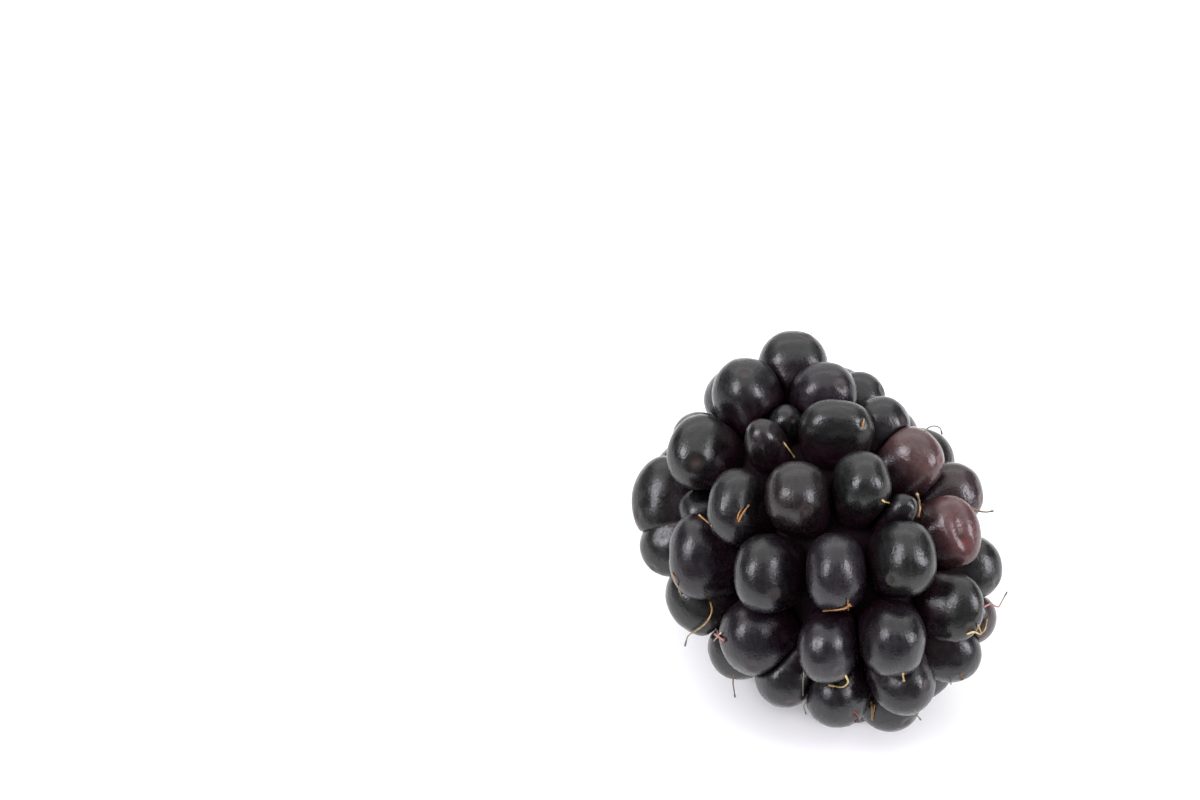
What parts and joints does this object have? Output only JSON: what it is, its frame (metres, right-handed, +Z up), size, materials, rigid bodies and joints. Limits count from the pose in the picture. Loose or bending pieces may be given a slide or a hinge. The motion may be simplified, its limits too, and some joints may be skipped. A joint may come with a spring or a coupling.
{
  "type": "bramble berry",
  "caption": "Ripe bramble berry lying on its side: an ovoid head of round, closely packed dark drupelets on a receptacle that shows as a small bare plug at the picked end.",
  "frame": {"origin": "middle of the bounding box's bottom face, on the table that the fruit lies on", "axes": "+X along the fruit from the picked end to the tip, +Z up, -Y the front"},
  "size_m": [0.0292, 0.0232, 0.0228],
  "materials": {
    "ripe_skin": "almost black, wine-tinted fruit skin with a soft waxy gloss"
  },
  "bodies": {
    "root": {"bramble_berry": "ripe_skin"}
  },
  "joints": []
}
